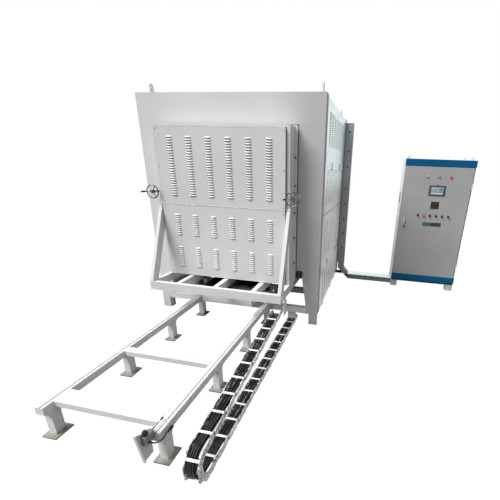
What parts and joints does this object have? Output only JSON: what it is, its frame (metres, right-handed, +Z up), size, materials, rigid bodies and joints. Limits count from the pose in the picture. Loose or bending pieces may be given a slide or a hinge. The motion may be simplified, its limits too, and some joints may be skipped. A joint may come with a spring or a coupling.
{
  "type": "bogie hearth furnace",
  "caption": "Bogie hearth furnace: a lined box on legs with a door-carrying bogie that rolls out on a floor track, a drag chain beside it, cable trunking and a free-standing control cabinet",
  "frame": {"origin": "on the floor, on the track's centre line, below the outer face of the furnace's front plate", "axes": "+X to the right as seen from the front, towards the control cabinet; +Y from the front into the furnace; +Z up"},
  "size_m": [3.261, 3.7, 2.142],
  "materials": {
    "frame_paint": "light warm-grey satin powder coat",
    "base_paint": "mid-grey satin paint with worn rail tops",
    "cover_sheet": "bluish-white sheet",
    "fibre": "off-white ceramic fibre blanket and board",
    "brick": "buff refractory brick",
    "hearth_iron": "dark scaled cast plate",
    "wheel_steel": "machined steel",
    "drive_paint": "dark blue enamel",
    "bright_wheel": "bright plated",
    "black_plastic": "black moulded",
    "cord_sheath": "black sheath",
    "chain_zinc": "zinc-plated sheet steel",
    "cabinet_paint": "grey textured powder coat",
    "blue_paint": "blue powder coat",
    "plated_steel": "plated steel",
    "panel_screen": "dark glossy screen in a grey bezel",
    "lamp_lens": "tinted lenses in metal bezels",
    "switch_plastic": "moulded buttons in metal bezels",
    "label_plate": "blank brushed plate"
  },
  "bodies": {
    "furnace": {"front_frame": "frame_paint", "rear_frame": "frame_paint", "base_frame": "base_paint", "furnace_feet": "base_paint", "inner_casing": "cover_sheet", "wall_linings": "fibre", "edge_seals": "fibre", "roof_lining": "fibre", "rear_lining": "fibre", "roof_cover": "frame_paint", "lower_side_covers": "cover_sheet", "upper_side_covers": "cover_sheet", "lifting_lugs": "frame_paint", "left_rail": "base_paint", "right_rail": "base_paint", "rail_legs": "base_paint", "track_ties": "base_paint", "stop_bracket": "base_paint", "limit_switch": "black_plastic", "spring_whip": "bright_wheel", "cord_gland": "black_plastic", "limit_switch_cord": "cord_sheath", "chain_links": "chain_zinc", "chain_crossbars": "chain_zinc", "chain_cables": "cord_sheath", "cable_trunking": "chain_zinc", "trunking_spacer": "black_plastic", "cabinet_case": "cabinet_paint", "cabinet_bands": "blue_paint", "mounting_plate": "chain_zinc", "cabinet_feet": "cabinet_paint", "cabinet_eyebolts": "plated_steel", "clamp_sockets": "frame_paint"},
    "bogie": {"bogie_deck": "base_paint", "hearth_tray": "base_paint", "hearth_bricks": "brick", "hearth_plate": "hearth_iron", "axle_bearings": "wheel_steel", "door_frame": "frame_paint", "door_lining": "fibre", "door_seal": "fibre", "door_lower_cover": "frame_paint", "door_upper_cover": "frame_paint", "door_braces": "frame_paint", "clamp_lugs": "frame_paint", "drive_motor": "drive_paint", "drive_guard": "drive_paint", "chain_bracket": "base_paint"},
    "front_wheels": {"front_wheelset": "wheel_steel"},
    "rear_wheels": {"rear_wheelset": "wheel_steel"},
    "left_clamp": {"left_handwheel": "bright_wheel"},
    "right_clamp": {"right_handwheel": "bright_wheel"},
    "cabinet_leaf": {"cabinet_door": "cabinet_paint", "touch_panel": "panel_screen", "temperature_controller": "black_plastic", "pilot_lamps": "lamp_lens", "panel_switches": "switch_plastic", "blank_label_plate": "label_plate", "cabinet_handle": "plated_steel"}
  },
  "joints": [
    {"name": "bogie_slide", "type": "slide", "parent": "furnace", "child": "bogie", "axis": [0, -1, 0], "range_m": [0, 1.2]},
    {"name": "front_wheels_roll", "type": "hinge", "parent": "bogie", "child": "front_wheels", "pos_m": [0, -0.01, 0.2903], "axis": [1, 0, 0], "range_deg": [-10, 995]},
    {"name": "rear_wheels_roll", "type": "hinge", "parent": "bogie", "child": "rear_wheels", "pos_m": [0, 0.95, 0.2903], "axis": [1, 0, 0], "range_deg": [-10, 995]},
    {"name": "left_clamp_turn", "type": "hinge", "parent": "bogie", "child": "left_clamp", "pos_m": [-0.64, -0.215, 1.232], "axis": [0, 1, 0], "continuous": true},
    {"name": "right_clamp_turn", "type": "hinge", "parent": "bogie", "child": "right_clamp", "pos_m": [0.64, -0.215, 1.232], "axis": [0, 1, 0], "continuous": true},
    {"name": "cabinet_door_hinge", "type": "hinge", "parent": "furnace", "child": "cabinet_leaf", "pos_m": [2.404, 1.396, 0.86], "axis": [0, 0, 1], "range_deg": [0, 110]}
  ],
  "couplings": [
    {"joint": "front_wheels_roll", "follows": "bogie_slide", "rad_per_m": 14.286},
    {"joint": "rear_wheels_roll", "follows": "bogie_slide", "rad_per_m": 14.286}
  ]
}
